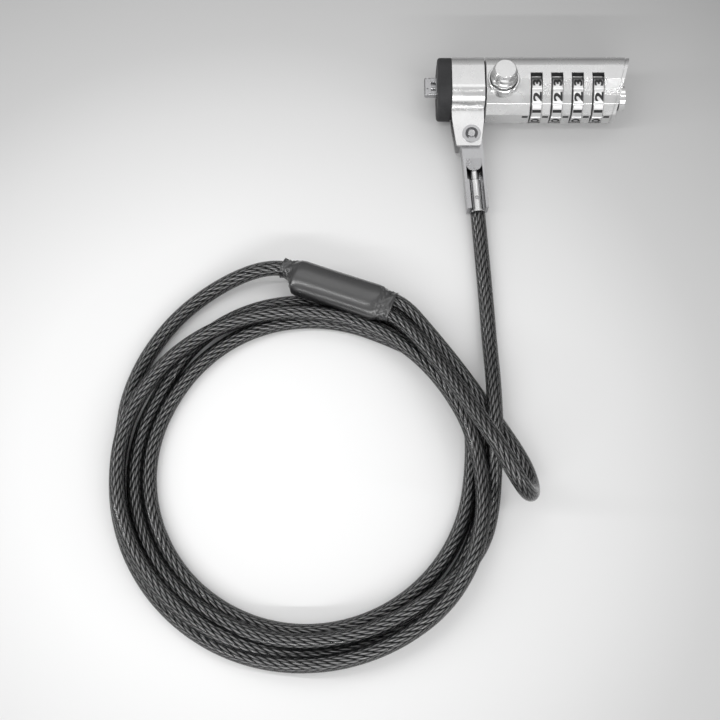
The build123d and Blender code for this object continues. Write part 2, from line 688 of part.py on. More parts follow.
save("yoke", yoke())
save("swivel_washer", swivel_washer())
save("end_ferrule", end_ferrule())
save("ferrule_pin", ferrule_pin())
save("eye_crimp", eye_crimp())
save("shrink_sleeve", shrink_sleeve())
cord_node("cable_lead", LEAD_ROUTE)
cord_node("cable_tail", TAIL_ROUTE)
cord_node("cable_eye", EYE_ROUTE)
save("cable_coil", cable_coil(cord_tube(EYE_ROUTE, CABLE_D / 2 + 0.3)[0]))
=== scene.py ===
# %% [markdown]
# # A laptop cable lock
# The lock is a small metal head with four number dials and a T-shaped nose. A collar
# turns on its neck, and a yoke in the collar holds a steel cable in a clear smoky jacket.
# The metal parts come from the CAD model as they are and get their finishes here. The
# cable, its sleeve, the button's spring, the numbers and the marks are made in Blender.

import math

import bmesh
import bpy
from mathutils import Matrix, Vector


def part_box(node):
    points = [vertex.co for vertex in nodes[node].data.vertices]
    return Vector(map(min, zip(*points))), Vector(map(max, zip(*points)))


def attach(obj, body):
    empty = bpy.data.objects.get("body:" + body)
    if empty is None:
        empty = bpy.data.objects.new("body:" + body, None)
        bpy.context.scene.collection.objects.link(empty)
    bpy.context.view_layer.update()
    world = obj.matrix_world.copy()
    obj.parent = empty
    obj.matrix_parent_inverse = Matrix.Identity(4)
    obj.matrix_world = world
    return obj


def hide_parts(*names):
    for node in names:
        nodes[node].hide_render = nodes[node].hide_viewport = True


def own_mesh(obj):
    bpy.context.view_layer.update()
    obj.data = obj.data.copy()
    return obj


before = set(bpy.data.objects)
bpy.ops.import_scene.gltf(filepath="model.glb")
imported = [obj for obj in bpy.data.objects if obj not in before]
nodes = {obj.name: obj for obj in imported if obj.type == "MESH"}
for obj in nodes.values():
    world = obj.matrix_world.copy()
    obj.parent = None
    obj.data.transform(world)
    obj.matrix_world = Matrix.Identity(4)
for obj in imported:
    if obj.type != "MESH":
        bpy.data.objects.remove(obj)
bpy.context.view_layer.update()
MM = 0.001

# %% [markdown]
# ## Camera
# The camera looks down steeply at the lock on its table, along +Y and 69 degrees below
# the horizon, so the round coils look nearly round. It has a 65 mm lens, which keeps
# straight edges calm. It is placed first, because the cable has to fit in its view.

# %% Place the camera
LOOK_AT = Vector((-57.25, -78.4, 0.0)) * MM
CAMERA_RISE = math.radians(69)
CAMERA_AWAY = 422.5 * MM

camera_data = bpy.data.cameras.new("camera")
camera_data.lens = 65
camera_data.sensor_width = 36
camera_data.clip_start = 0.01
camera = bpy.data.objects.new("camera", camera_data)
away = Vector((0, -math.cos(CAMERA_RISE), math.sin(CAMERA_RISE)))
camera.location = LOOK_AT + away * CAMERA_AWAY
camera.rotation_euler = (math.pi / 2 - CAMERA_RISE, 0, 0)
bpy.context.scene.collection.objects.link(camera)
bpy.context.scene.camera = camera
print("camera at", [round(c, 4) for c in camera.location])

# %% [markdown]
# ## The cable's route
# The cable is one springy length. It leaves the ferrule straight, runs through its own
# eye, lies in three and a half loose turns, and comes back to the black sleeve, where its
# end is folded round into the eye. One NURBS spline follows the whole way. The turns are
# written as stations: how far round, how far from the middle, and how high. Strands lie
# on the table or on the strands they cross, so the height tells which one is on top.

# %% Write down the route
CABLE_D = 5.0 * MM
LEAD = [
    (-17.62, -26.78, 3.66), (-17.03, -35.18, 2.55), (-16.4, -47.0, 2.5), (-15.7, -61.0, 2.5),
    (-15.2, -75.0, 3.1), (-14.9, -86.5, 6.2), (-14.9, -97.0, 8.4), (-15.0, -106.5, 8.2),
    (-15.3, -115.5, 5.2),
]
COIL_CENTRE = (-74.45, -117.1)
COIL_STATIONS = [
    # degrees walked clockwise, millimetres from the middle, height
    (15, 59.5, 2.6), (30, 58.5, 5.5), (40, 56.6, 7.4), (50, 54.6, 7.2), (70, 53.3, 6.4),
    (90, 52.8, 6.4), (120, 52.4, 5.0), (160, 53.2, 2.5), (210, 53.2, 2.5), (230, 56.5, 2.5),
    (250, 58.0, 2.5), (300, 57.5, 2.6), (325, 57.3, 7.0), (340, 55.0, 4.5), (360, 51.9, 2.5),
    (400, 50.7, 2.5), (430, 49.8, 2.5), (480, 48.9, 2.5), (520, 48.6, 2.5), (570, 48.9, 2.5),
    (610, 51.0, 2.5), (660, 52.0, 2.5), (685, 56.6, 2.5), (720, 56.4, 2.5), (790, 56.6, 2.5),
    (820, 56.2, 3.6), (840, 56.2, 6.0), (880, 57.6, 7.2), (920, 58.0, 7.2), (950, 55.7, 7.0),
    (970, 54.0, 6.9), (990, 52.6, 6.8), (1010, 52.0, 6.8), (1045, 51.5, 7.2), (1060, 52.5, 8.0),
    (1085, 55.0, 7.5), (1100, 57.3, 8.6), (1112, 59.0, 10.0), (1125, 60.0, 8.6),
    (1150, 59.6, 6.6), (1175, 59.3, 4.6), (1200, 59.0, 2.5), (1262, 58.6, 2.5),
]
TAIL = [
    (-132.2, -104.5, 2.5), (-131.4, -92.5, 2.5), (-126.4, -78.4, 2.5), (-117.2, -64.6, 2.5),
    (-105.4, -54.6, 2.8), (-93.4, -49.3, 5.4), (-83.69, -48.51, 7.51), (-77.17, -51.01, 7.98),
]
EYE = [
    (-50.74, -60.12, 9.82), (-43.29, -62.97, 10.35), (-35.2, -72.6, 9.1), (-26.2, -83.6, 6.6),
    (-19.0, -93.2, 3.6), (-11.8, -103.8, 2.5), (-6.2, -113.4, 2.5), (-4.0, -120.8, 4.2),
    (-4.8, -126.4, 10.4), (-7.6, -127.2, 18.0), (-11.4, -123.2, 23.4), (-15.4, -115.6, 24.6),
    (-21.4, -104.2, 21.2), (-28.0, -92.0, 17.0), (-35.4, -79.6, 13.0), (-45.11, -67.74, 10.35),
    (-52.57, -64.88, 9.82), (-63.75, -60.6, 9.03),
]
TURN_STEP = 15


def coil_turns():
    """Spline points of the turns, every TURN_STEP degrees, between the stations.

    A spline of order 3 runs a little inside its points, so they stand further out.
    """
    pulled_in = 0.5 + math.cos(math.radians(TURN_STEP / 2)) ** 2 / 2
    points = []
    walked = COIL_STATIONS[0][0]
    while walked < COIL_STATIONS[-1][0]:
        pairs = zip(COIL_STATIONS, COIL_STATIONS[1:])
        before, after = next((a, b) for a, b in pairs if a[0] <= walked < b[0])
        share = (walked - before[0]) / (after[0] - before[0])
        radius = (before[1] + share * (after[1] - before[1])) / pulled_in
        height = before[2] + share * (after[2] - before[2])
        angle = -math.radians(walked)
        x = COIL_CENTRE[0] + radius * math.cos(angle)
        y = COIL_CENTRE[1] + radius * math.sin(angle)
        points.append((x, y, height))
        walked += TURN_STEP
    return points


route = LEAD[:-1] + coil_turns() + TAIL + EYE
print("route points:", len(route))

# %% [markdown]
# ## One line for the whole cable
# The spline gets its order and its end rule after its points, because Blender lowers the
# order of a spline that has too few points. A curve without a bevel turns into a plain
# line of vertices. They are moved to an even spacing, so that the strands keep one lay,
# and the jacket and the strands both follow them.

# %% Lay one spline along the route
SPLINE_RESOLUTION = 16
LINE_STEP = 1.1  # millimetres between two points of the cable's line


def spline_vertices(points_mm):
    """Vertices read from a NURBS spline with these control points."""
    curve = bpy.data.curves.new("cable_line", "CURVE")
    curve.dimensions = "3D"
    curve.resolution_u = SPLINE_RESOLUTION
    spline = curve.splines.new("NURBS")
    spline.points.add(len(points_mm) - 1)
    for point, place in zip(spline.points, points_mm):
        point.co = (place[0] * MM, place[1] * MM, place[2] * MM, 1)
    spline.order_u = 3
    spline.use_endpoint_u = True
    line = bpy.data.objects.new("cable_line", curve)
    bpy.context.scene.collection.objects.link(line)
    depsgraph = bpy.context.evaluated_depsgraph_get()
    mesh = bpy.data.meshes.new_from_object(line.evaluated_get(depsgraph))
    found = [v.co.copy() for v in mesh.vertices]
    bpy.data.objects.remove(line)
    bpy.data.meshes.remove(mesh)
    return found


def even_points(vertices, spacing):
    """Points at an even spacing along a line of vertices, and the line's length."""
    walked = [0.0]
    for before, after in zip(vertices, vertices[1:]):
        walked.append(walked[-1] + (after - before).length)
    count = round(walked[-1] / spacing)
    points = []
    index = 0
    for number in range(count + 1):
        target = walked[-1] * number / count
        while index < len(vertices) - 2 and walked[index + 1] < target:
            index += 1
        share = (target - walked[index]) / max(walked[index + 1] - walked[index], 1e-9)
        points.append(vertices[index].lerp(vertices[index + 1], min(share, 1)))
    return points, walked[-1]


cable_line, cable_length = even_points(spline_vertices(route), LINE_STEP * MM)
print("cable length in m:", round(cable_length, 3), "points:", len(cable_line))

# %% [markdown]
# ## Tubes along a line
# A strand, the jacket, the sleeve and the spring are all rings of vertices with faces
# between them and a lid at each end. A curve with a bevel could draw them too, but made
# by hand each swept tube gets a UV map along and around it. On a strand, a value called
# crest also says how far each vertex lies from the cable's middle.

# %% Helpers for meshes
def new_object(name, mesh):
    made = bpy.data.objects.new(name, mesh)
    bpy.context.scene.collection.objects.link(made)
    return made


def lofted(name, rings):
    """A smooth mesh through rings of vertices, closed at both ends."""
    sides = len(rings[0])
    faces = []
    for index in range(len(rings) - 1):
        near, far = index * sides, (index + 1) * sides
        for step in range(sides):
            after = (step + 1) % sides
            faces.append((near + step, near + after, far + after, far + step))
    last = (len(rings) - 1) * sides
    faces.append(tuple(reversed(range(sides))))
    faces.append(tuple(range(last, last + sides)))
    mesh = bpy.data.meshes.new(name)
    mesh.from_pydata([vertex for ring in rings for vertex in ring], [], faces)
    mesh.shade_smooth()
    return mesh


def line_frames(points):
    """A side and an up direction at each point, turning as little as possible."""
    frames = []
    side = None
    for index in range(len(points)):
        before = points[max(index - 1, 0)]
        after = points[min(index + 1, len(points) - 1)]
        along = (after - before).normalized()
        if side is None:
            side = along.cross(Vector((0, 0, 1))).normalized()
        side = (side - along * side.dot(along)).normalized()
        frames.append((side, along.cross(side)))
    return frames


def map_tube(mesh, rings, sides):
    """Give a tube a UV map: LINE_STEP for each ring along it, a whole turn around it."""
    corners = []
    for index in range(rings - 1):
        for step in range(sides):
            corners += [(index, step), (index, step + 1), (index + 1, step + 1), (index + 1, step)]
    corners += [(0, 0)] * (2 * sides)
    layer = mesh.uv_layers.new(name="along_and_around")
    for loop, (index, step) in zip(layer.data, corners):
        loop.uv = (index * LINE_STEP, step / sides)


def swept_tube(name, points, frames, radius, sides, centre_of=None):
    """A tube along the points. centre_of moves the middle of each ring to one side."""
    rings = []
    for index, (point, (side, up)) in enumerate(zip(points, frames)):
        middle = point + (centre_of(index, side, up) if centre_of else Vector())
        ring = []
        for step in range(sides):
            angle = 2 * math.pi * step / sides
            ring.append(middle + (side * math.cos(angle) + up * math.sin(angle)) * radius)
        rings.append(ring)
    mesh = lofted(name, rings)
    map_tube(mesh, len(points), sides)
    if centre_of:
        crest = mesh.attributes.new("crest", "FLOAT", "POINT")
        for index, vertex in enumerate(mesh.vertices):
            distance = (vertex.co - points[index // sides]).length
            crest.data[index].value = distance / (CABLE_D / 2)
    return mesh


def joined(name, meshes):
    """One mesh made of several, with their UV maps and attributes."""
    together = bmesh.new()
    for mesh in meshes:
        together.from_mesh(mesh)
        bpy.data.meshes.remove(mesh)
    result = bpy.data.meshes.new(name)
    together.to_mesh(result)
    together.free()
    result.shade_smooth()
    return result


cable_frames = line_frames(cable_line)
print("directions along the cable:", len(cable_frames))

# %% [markdown]
# ## Steel strands in a clear jacket
# Six strands are laid round each other like a rope, and a smoky clear jacket is drawn
# over them. A picture of strands on a plain tube would stay flat, so each strand is a
# real tube that winds round the cable's line, and the jacket is a second, see-through
# tube.

# %% Wind the strands
STRANDS = 6
STRAND_SIDES = 8
LAY = 20 * MM
STRAND_RING_R = 1.34 * MM
STRAND_R = 0.75 * MM


def strand_offset(number):
    """A function that says where one strand lies, from the middle of the cable."""
    def offset(index, side, up):
        angle = 2 * math.pi * (number / STRANDS + index * LINE_STEP * MM / LAY)
        return (side * math.cos(angle) + up * math.sin(angle)) * STRAND_RING_R

    return offset


strand_meshes = []
for number in range(STRANDS):
    strand_meshes.append(swept_tube(
        "strand", cable_line, cable_frames, STRAND_R, STRAND_SIDES, strand_offset(number)))
strands = new_object("cable_strands", joined("cable_strands", strand_meshes))
print("strand faces:", len(strands.data.polygons))

# %% Draw the jacket over them
JACKET_SIDES = 20
jacket = new_object("cable_jacket", swept_tube(
    "cable_jacket", cable_line[::2], cable_frames[::2], CABLE_D / 2, JACKET_SIDES))
print("jacket faces:", len(jacket.data.polygons))

# %% [markdown]
# ## The sleeve
# Black shrink tube covers the place where the cable's end is pressed to the cable. Heat
# has pulled it tight, so it has soft shoulders, two thin necks with wrinkles, and a lip
# at each end that stands off a little. A scaled cylinder has none of these, so it is a
# loft of ovals along the sleeve's axis, with eased steps from each place to the next.

# %% Loft the shrink tube
SLEEVE_CENTRE = Vector((-64.7, -57.5, 8.9)) * MM
SLEEVE_AXIS = Vector((0.9316, -0.357, 0.066)).normalized()
SLEEVE_SIDE = Vector((0, 0, 1)).cross(SLEEVE_AXIS).normalized()
SLEEVE_UP = SLEEVE_AXIS.cross(SLEEVE_SIDE)
SLEEVE_SECTIONS = [
    # place along it, width, thickness, shift to the side, wrinkles
    (-19.6, 6.7, 6.5, 1.6, 0.3), (-19.2, 6.2, 6.1, 1.6, 0.6), (-18.0, 6.0, 5.9, 1.6, 1.0),
    (-16.9, 6.4, 6.0, 1.55, 1.0), (-15.9, 7.9, 6.5, 1.2, 0.9), (-15.0, 10.0, 7.3, 0.5, 0.5),
    (-14.0, 11.7, 7.9, 0.1, 0.2), (-12.6, 12.2, 8.1, 0.0, 0.05), (-8.0, 12.1, 8.0, 0.0, 0.05),
    (0.0, 12.0, 8.0, 0.0, 0.05), (8.0, 12.1, 8.0, 0.0, 0.05), (12.6, 12.2, 8.1, 0.0, 0.05),
    (14.0, 11.9, 7.8, 0.0, 0.2), (15.0, 11.1, 7.1, 0.0, 0.5), (16.0, 10.6, 6.4, 0.0, 0.9),
    (17.3, 10.3, 6.1, 0.0, 1.0), (18.6, 10.4, 6.1, 0.0, 0.7), (19.3, 10.9, 6.6, 0.0, 0.3),
]
SLEEVE_SIDES = 64
SLEEVE_FOLDS = [(0.16, 7, 2.1), (0.09, 13, -3.7)]  # height, folds round it, twist along it
OVAL_POWER = 0.86  # 1 is an ellipse, and less is nearer to a box
RINGS_PER_SECTION = 3


def oval(value):
    """A sine or cosine, pushed outwards so that the oval gets fuller corners."""
    return math.copysign(abs(value) ** OVAL_POWER, value)


def sleeve_ring(u, width, thick, shift, wrinkle):
    ring = []
    for step in range(SLEEVE_SIDES):
        angle = 2 * math.pi * step / SLEEVE_SIDES
        fold = wrinkle * sum(
            height * math.sin(count * angle + u * twist) for height, count, twist in SLEEVE_FOLDS)
        across = oval(math.cos(angle)) * (width / 2 + fold) + shift
        rise = oval(math.sin(angle)) * (thick / 2 + fold)
        offset = SLEEVE_AXIS * u + SLEEVE_SIDE * across + SLEEVE_UP * rise
        ring.append(SLEEVE_CENTRE + offset * MM)
    return ring


sleeve_rings = [sleeve_ring(*SLEEVE_SECTIONS[0])]
for before, after in zip(SLEEVE_SECTIONS, SLEEVE_SECTIONS[1:]):
    for step in range(1, RINGS_PER_SECTION + 1):
        share = step / RINGS_PER_SECTION
        eased = share * share * (3 - 2 * share)
        shares = (share, eased, eased, eased, eased)
        sleeve_rings.append(sleeve_ring(*[a + s * (b - a) for a, b, s in zip(before, after, shares)]))
sleeve = new_object("shrink_tube", lofted("shrink_tube", sleeve_rings))
print("sleeve rings:", len(sleeve_rings))

# %% [markdown]
# ## Numbers on the dials
# Each dial carries the numbers 0 to 9 in black, and their tops point to the T-bar. Flat
# text would sink into the round dial, so the text is turned into a mesh, cut into narrow
# strips, and each vertex is wrapped round the dial's axis.

# %% Draw one number flat
NUMBER_HEIGHT = 2.95 * MM
NUMBER_BOLD = 0.045
NUMBER_WIDEN = 1.62
STRIP = 0.25  # width in millimetres
STRIPS = 10  # on each side of the middle


def flat_number(text):
    """A number as a flat mesh, centred, NUMBER_HEIGHT high, cut into narrow strips."""
    curve = bpy.data.curves.new("number", "FONT")
    curve.body = text
    curve.size = 1.0
    curve.offset = NUMBER_BOLD
    curve.resolution_u = 6
    holder = bpy.data.objects.new("number", curve)
    bpy.context.scene.collection.objects.link(holder)
    depsgraph = bpy.context.evaluated_depsgraph_get()
    mesh = bpy.data.meshes.new_from_object(holder.evaluated_get(depsgraph))
    bpy.data.objects.remove(holder)
    xs = [v.co.x for v in mesh.vertices]
    ys = [v.co.y for v in mesh.vertices]
    scale = NUMBER_HEIGHT / (max(ys) - min(ys))
    middle = Vector(((max(xs) + min(xs)) / 2, (max(ys) + min(ys)) / 2, 0))
    flat = bmesh.new()
    flat.from_mesh(mesh)
    bpy.data.meshes.remove(mesh)
    for vertex in flat.verts:
        vertex.co = (vertex.co - middle) * scale
        vertex.co.x *= NUMBER_WIDEN
    for strip in range(-STRIPS, STRIPS + 1):
        everything = flat.verts[:] + flat.edges[:] + flat.faces[:]
        bmesh.ops.bisect_plane(
            flat, geom=everything, plane_co=(strip * STRIP * MM, 0, 0), plane_no=(1, 0, 0))
    return flat


eight = flat_number("8")
print("faces of one number:", len(eight.faces))
eight.free()

# %% Wrap the numbers round the dials
DIAL_AXIS = Vector((0, 14.4, 9.5)) * MM
DIAL_R = 8.2 * MM
NUMBER_LIFT = 0.02 * MM
DIGITS = 10
SHOWN_DIGIT = 2
SHOWN_ANGLE = 119.0  # where the shown digit stands, in degrees round the axis


def dial_numbers(name, dial_x):
    everything = bmesh.new()
    for digit in range(DIGITS):
        flat = flat_number(str(digit))
        facing = math.radians(SHOWN_ANGLE + 360 / DIGITS * (SHOWN_DIGIT - digit))
        for vertex in flat.verts:
            angle = facing - vertex.co.x / DIAL_R
            reach = DIAL_R + NUMBER_LIFT
            vertex.co = Vector((
                dial_x - vertex.co.y,
                DIAL_AXIS.y + reach * math.cos(angle),
                DIAL_AXIS.z + reach * math.sin(angle)))
        part = bpy.data.meshes.new("part")
        flat.to_mesh(part)
        flat.free()
        everything.from_mesh(part)
        bpy.data.meshes.remove(part)
    mesh = bpy.data.meshes.new(name)
    everything.to_mesh(mesh)
    everything.free()
    for polygon in mesh.polygons:
        outward = polygon.center - Vector((polygon.center.x, DIAL_AXIS.y, DIAL_AXIS.z))
        if polygon.normal.dot(outward) < 0:
            polygon.flip()
    return new_object(name, mesh)


number_pieces = []
for number in range(1, 5):
    low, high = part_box(f"dial_{number}")
    piece = dial_numbers(f"dial_{number}_numbers", (low[0] + high[0]) / 2)
    number_pieces.append(piece)
print("number faces:", [len(piece.data.polygons) for piece in number_pieces])

# %% [markdown]
# ## What all finishes share
# Cast, stamped and moulded parts all have a fine grain and a shine that changes a little,
# as handling leaves it. Two node groups make both for every finish. "Fine grain" gives
# the height of the grain, and "Cloudy shine" a slow change in roughness. A group is built
# once, and each material places it with its own sizes and keeps its own shader.

# %% Build the shared node groups
CLOUDS_PER_METRE = 120.0


def new_group(name, sizes, results):
    """A shader group with named numbers as inputs and outputs, and the nodes for both."""
    group = bpy.data.node_groups.new(name, "ShaderNodeTree")
    for label, value in sizes.items():
        socket = group.interface.new_socket(label, in_out="INPUT", socket_type="NodeSocketFloat")
        socket.default_value = value
    for label in results:
        group.interface.new_socket(label, in_out="OUTPUT", socket_type="NodeSocketFloat")
    return group, group.nodes.new("NodeGroupInput"), group.nodes.new("NodeGroupOutput")


def noise(group, place, scale, detail):
    """A noise texture on Object coordinates, whose scale comes from a socket."""
    texture = group.nodes.new("ShaderNodeTexNoise")
    texture.inputs["Detail"].default_value = detail
    group.links.new(place.outputs["Object"], texture.inputs["Vector"])
    group.links.new(scale, texture.inputs["Scale"])
    return texture.outputs["Fac"]


def grain_group():
    sizes = {"Grains per metre": 2500.0, "Waves per metre": 350.0, "Wave share": 0.4}
    group, inputs, outputs = new_group("Fine grain", sizes, ("Height", "Grain"))
    place = group.nodes.new("ShaderNodeTexCoord")
    grain = noise(group, place, inputs.outputs["Grains per metre"], 3)
    wave = noise(group, place, inputs.outputs["Waves per metre"], 2)
    mix = group.nodes.new("ShaderNodeMix")
    group.links.new(inputs.outputs["Wave share"], mix.inputs[0])
    group.links.new(grain, mix.inputs[2])
    group.links.new(wave, mix.inputs[3])
    group.links.new(mix.outputs[0], outputs.inputs["Height"])
    group.links.new(grain, outputs.inputs["Grain"])
    return group


def shine_group():
    sizes = {"Clouds per metre": CLOUDS_PER_METRE, "Lowest": 0.2, "Highest": 0.4}
    group, inputs, outputs = new_group("Cloudy shine", sizes, ("Roughness", "Cloud"))
    place = group.nodes.new("ShaderNodeTexCoord")
    cloud = noise(group, place, inputs.outputs["Clouds per metre"], 4)
    spread = group.nodes.new("ShaderNodeMapRange")
    spread.inputs["From Min"].default_value = 0.35
    spread.inputs["From Max"].default_value = 0.65
    group.links.new(cloud, spread.inputs["Value"])
    group.links.new(inputs.outputs["Lowest"], spread.inputs["To Min"])
    group.links.new(inputs.outputs["Highest"], spread.inputs["To Max"])
    group.links.new(spread.outputs[0], outputs.inputs["Roughness"])
    group.links.new(cloud, outputs.inputs["Cloud"])
    return group


FINE_GRAIN = grain_group()
CLOUDY_SHINE = shine_group()
print("shared groups:", FINE_GRAIN.name, "and", CLOUDY_SHINE.name)


# %% Helpers for materials
def new_material(name):
    material = bpy.data.materials.new(name)
    material.use_nodes = True
    return material, material.node_tree, material.node_tree.nodes["Principled BSDF"]


def place_group(tree, group, *values):
    """Place a shared group in a material, with values for its inputs in their order."""
    node = tree.nodes.new("ShaderNodeGroup")
    node.node_tree = group
    for socket, value in zip(node.inputs, values):
        socket.default_value = value
    return node


def raise_surface(tree, shader, height, distance, strength=1.0):
    """Let a changing height bend the shader's normal."""
    lift = tree.nodes.new("ShaderNodeBump")
    lift.inputs["Distance"].default_value = distance
    lift.inputs["Strength"].default_value = strength
    tree.links.new(height, lift.inputs["Height"])
    tree.links.new(lift.outputs["Normal"], shader.inputs["Normal"])


def mix_base(tree, shader, share, first, second):
    """Let the base colour change between two colours over the surface."""
    mix = tree.nodes.new("ShaderNodeMix")
    mix.data_type = "RGBA"
    mix.inputs[6].default_value = (*first, 1)
    mix.inputs[7].default_value = (*second, 1)
    tree.links.new(share, mix.inputs[0])
    tree.links.new(mix.outputs[2], shader.inputs["Base Color"])


def math_node(tree, operation, *terms):
    """A Math node whose terms are numbers or other nodes' sockets."""
    node = tree.nodes.new("ShaderNodeMath")
    node.operation = operation
    for socket, term in zip(node.inputs, terms):
        if isinstance(term, float):
            socket.default_value = term
        else:
            tree.links.new(term, socket)
    return node.outputs[0]


def map_range(tree, value, **limits):
    """A Map Range node on a value. from_min=0.1 sets its input From Min, and so on."""
    node = tree.nodes.new("ShaderNodeMapRange")
    for label, limit in limits.items():
        node.inputs[label.replace("_", " ").title()].default_value = limit
    tree.links.new(value, node.inputs["Value"])
    return node


print("helpers for materials are ready")

# %% [markdown]
# ## Metal, rubber and plastic
# The body, its covers, the collar and the button share one bright satin plating. The
# yoke and the rivet are plainer steel, the pad is rubber and the sleeve is shrink tube. A
# picture of scratches would repeat itself, so grain and clouds give each finish its small
# differences. Grain is written as grains per metre, waves per metre and share of waves.

# %% Mix the finishes
def finish(name, colour, metallic, rough, grain, bump, tint=0.0):
    """A finish with a bump in millimetres, and a colour that tint darkens in its grain."""
    material, tree, shader = new_material(name)
    shader.inputs["Metallic"].default_value = metallic
    shine = place_group(tree, CLOUDY_SHINE, CLOUDS_PER_METRE, *rough)
    tree.links.new(shine.outputs["Roughness"], shader.inputs["Roughness"])
    texture = place_group(tree, FINE_GRAIN, *grain)
    raise_surface(tree, shader, texture.outputs["Height"], bump * MM)
    darker = [c * (1 - tint) for c in colour]
    mix_base(tree, shader, texture.outputs["Grain"], colour, darker)
    material.diffuse_color = (*colour, 1)
    return material


CAST_METAL = finish(
    "cast_metal", (0.77, 0.77, 0.77), 1.0, rough=(0.2, 0.32),
    grain=(2600, 420, 0.35), bump=0.004, tint=0.16)
POLISHED = finish(
    "polished_metal", (0.85, 0.85, 0.85), 1.0, rough=(0.1, 0.2),
    grain=(1800, 300, 0.5), bump=0.004, tint=0.06)
STEEL = finish(
    "satin_steel", (0.5, 0.5, 0.51), 1.0, rough=(0.22, 0.36),
    grain=(2200, 380, 0.4), bump=0.006, tint=0.2)
DARK_STEEL = finish(
    "dark_steel", (0.12, 0.12, 0.125), 1.0, rough=(0.3, 0.5),
    grain=(2600, 400, 0.3), bump=0.02, tint=0.3)
DIAL_METAL = finish(
    "dial_metal", (0.80, 0.80, 0.80), 1.0, rough=(0.3, 0.42),
    grain=(2600, 500, 0.4), bump=0.004, tint=0.1)
BRASS = finish(
    "brass", (0.75, 0.58, 0.27), 1.0, rough=(0.25, 0.4),
    grain=(2000, 400, 0.4), bump=0.02, tint=0.15)
ALUMINIUM = finish(
    "aluminium", (0.7, 0.7, 0.71), 1.0, rough=(0.3, 0.45),
    grain=(2000, 400, 0.4), bump=0.02, tint=0.1)
PAD_RUBBER = finish(
    "pad_rubber", (0.028, 0.028, 0.03), 0.0, rough=(0.55, 0.75),
    grain=(1900, 500, 0.25), bump=0.12, tint=0.5)
SHRINK_TUBE = finish(
    "shrink_tube", (0.016, 0.016, 0.017), 0.0, rough=(0.26, 0.36),
    grain=(1500, 260, 0.7), bump=0.05, tint=0.3)
PRINT = finish(
    "black_print", (0.012, 0.012, 0.013), 0.0, rough=(0.45, 0.6),
    grain=(3000, 600, 0.3), bump=0.01)
DARK_PLASTIC = finish(
    "dark_plastic", (0.01, 0.01, 0.011), 0.0, rough=(0.5, 0.65),
    grain=(2200, 400, 0.3), bump=0.02, tint=0.3)
print("finishes:", len(bpy.data.materials))

# %% Give the shrink tube its gloss
tube_shader = SHRINK_TUBE.node_tree.nodes["Principled BSDF"]
tube_shader.inputs["Specular IOR Level"].default_value = 1.0
tube_shader.inputs["Coat Weight"].default_value = 0.5
tube_shader.inputs["Coat Roughness"].default_value = 0.22
print("coat of the shrink tube:", tube_shader.inputs["Coat Weight"].default_value)

# %% [markdown]
# ## The cable's two finishes
# The strands are steel wire: each one is a bundle, so fine lines run along it with a
# twist of their own. The lines follow the strand's UV map. They are a real bump, and they
# are also painted shade in the base colour: dark in the grooves between the wires and
# light on the wires. The crest value paints shade into the valleys between the strands,
# where little light gets in. The jacket is dark clear plastic: half see-through face on,
# and solid and glossy towards its edges. Real glass nodes would be slower and noisier,
# so a changing Alpha lets the strands show.

# %% Finish the strands
WIRES_PER_STRAND = 5
WIRE_LEAN = 0.07  # how much of a turn the wires take per millimetre of strand


def strand_finish():
    material, tree, shader = new_material("strand_steel")
    shader.inputs["Metallic"].default_value = 1.0
    place = tree.nodes.new("ShaderNodeUVMap")
    place.uv_map = "along_and_around"
    split = tree.nodes.new("ShaderNodeSeparateXYZ")
    tree.links.new(place.outputs[0], split.inputs[0])
    lean = math_node(tree, "MULTIPLY_ADD", split.outputs["X"], WIRE_LEAN, split.outputs["Y"])
    turned = math_node(tree, "MULTIPLY", lean, 2 * math.pi * WIRES_PER_STRAND)
    wave = math_node(tree, "SINE", turned)
    raise_surface(tree, shader, wave, 0.05 * MM, strength=0.8)
    # Painted shade: the base colour is dark in the grooves between the wires and light on the wires.
    shade = map_range(tree, wave, from_min=-1.0, to_min=0.08, to_max=0.95)
    crest = tree.nodes.new("ShaderNodeAttribute")
    crest.attribute_name = "crest"
    # Painted shade: the base colour darkens in the valleys between the strands, near the cable's
    # middle.
    valley_shade_mask = map_range(tree, crest.outputs["Fac"], from_min=0.55, from_max=0.82)
    valley_shade_mask.interpolation_type = "SMOOTHSTEP"
    painted_valley_shade = math_node(tree, "MULTIPLY", shade.outputs[0], valley_shade_mask.outputs[0])
    tree.links.new(painted_valley_shade, shader.inputs["Base Color"])
    shine = place_group(tree, CLOUDY_SHINE, 200, 0.3, 0.5)
    tree.links.new(shine.outputs["Roughness"], shader.inputs["Roughness"])
    return material


STRAND_STEEL = strand_finish()
strands.data.materials.append(STRAND_STEEL)
print("strand nodes:", len(STRAND_STEEL.node_tree.nodes))


# %% Finish the jacket
def jacket_finish():
    material, tree, shader = new_material("smoky_jacket")
    shader.inputs["IOR"].default_value = 1.36
    shine = place_group(tree, CLOUDY_SHINE, 160, 0.07, 0.17)
    tree.links.new(shine.outputs["Roughness"], shader.inputs["Roughness"])
    edge = tree.nodes.new("ShaderNodeLayerWeight")
    edge.inputs["Blend"].default_value = 0.35
    solid = map_range(tree, edge.outputs["Facing"], to_min=0.46, to_max=1.0)
    tree.links.new(solid.outputs[0], shader.inputs["Alpha"])
    grain = place_group(tree, FINE_GRAIN, 900, 220, 0.7)
    raise_surface(tree, shader, grain.outputs["Height"], 0.03 * MM)
    mix_base(
        tree, shader, shine.outputs["Cloud"], (0.004, 0.0043, 0.0046), (0.012, 0.0125, 0.013))
    return material


JACKET = jacket_finish()
jacket.data.materials.append(JACKET)
sleeve.data.materials.append(SHRINK_TUBE)
for piece in number_pieces:
    piece.data.materials.append(PRINT)
print("jacket nodes:", len(JACKET.node_tree.nodes))
